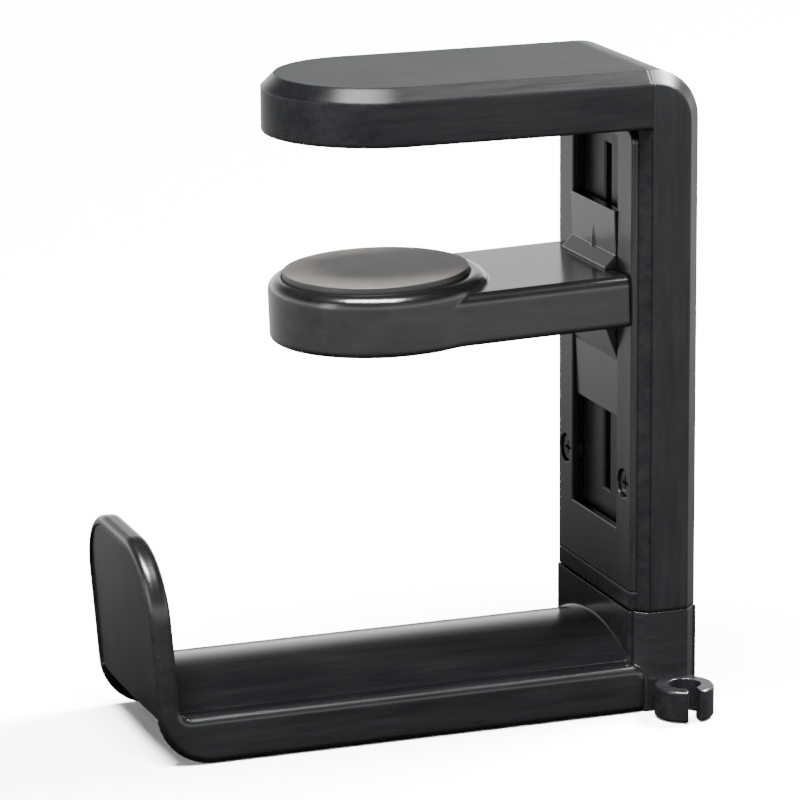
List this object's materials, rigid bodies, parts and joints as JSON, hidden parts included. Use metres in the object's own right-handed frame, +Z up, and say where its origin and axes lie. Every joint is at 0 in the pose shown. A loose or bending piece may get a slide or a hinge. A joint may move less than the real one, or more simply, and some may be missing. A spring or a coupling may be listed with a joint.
{
  "type": "headphone hook",
  "caption": "Under-desk headphone hook: sprung C-clamp with a sliding padded jaw, and a swivelling J-shaped rest with a raised lip and a cable clip.",
  "frame": {"origin": "middle of the upper pad's lower face, where the desk top touches", "axes": "+Z up, -X from the column towards the ends of the jaws and the hook's lip, cable clip on the -Y side"},
  "size_m": [0.1118, 0.0524, 0.125],
  "materials": {
    "shell_plastic": "satin moulded ABS with a faint brushed grain",
    "panel_plastic": "satin moulded ABS",
    "inner_plastic": "plain moulded ABS",
    "carriage_plastic": "satin moulded acetal",
    "arm_plastic": "satin moulded ABS with a soft sheen",
    "hook_plastic": "satin moulded ABS",
    "rest_plastic": "satin crowned rest",
    "lip_plastic": "satin moulded ABS",
    "clip_plastic": "satin moulded ABS",
    "pad_rubber": "matt foam rubber",
    "screw_steel": "black oxide",
    "pin_steel": "zinc plated",
    "spring_steel": "bright spring wire",
    "glide_plastic": "natural acetal"
  },
  "bodies": {
    "column": {"front_shell": "shell_plastic", "rear_shell": "shell_plastic", "front_panel": "panel_plastic", "panel_screws": "screw_steel", "shell_screws": "screw_steel", "guide_plate": "inner_plastic", "guide_screws": "screw_steel", "jaw_under_plate": "inner_plastic", "under_plate_screws": "screw_steel", "upper_pad": "pad_rubber", "column_foot": "inner_plastic", "upper_spring_pin": "pin_steel", "near_spring": "spring_steel", "far_spring": "spring_steel"},
    "moving_jaw": {"clamp_arm": "arm_plastic", "arm_cover": "inner_plastic", "arm_cover_screws": "screw_steel", "arm_screws": "screw_steel", "lower_pad": "pad_rubber", "slide_carriage": "carriage_plastic", "keeper_plate": "inner_plastic", "keeper_screws": "screw_steel", "lower_spring_pin": "pin_steel"},
    "hook": {"hook_frame": "hook_plastic", "platform_cover": "rest_plastic", "cover_screws": "screw_steel", "lip_cover": "lip_plastic", "base_rear_cover": "hook_plastic", "cable_clip": "clip_plastic", "pivot_bolt": "pin_steel", "pivot_nut": "pin_steel", "glide_washer": "glide_plastic", "upper_washer": "pin_steel", "spring_washer": "spring_steel"}
  },
  "joints": [
    {"name": "jaw_slide", "type": "slide", "parent": "column", "child": "moving_jaw", "axis": [0, 0, 1], "range_m": [-0.02, 0.012], "stiffness_N_per_m": 1600, "deforming": ["near_spring", "far_spring"]},
    {"name": "hook_swivel", "type": "hinge", "parent": "column", "child": "hook", "pos_m": [0.0512, 0, -0.0934], "axis": [0, 0, 1], "continuous": true}
  ]
}
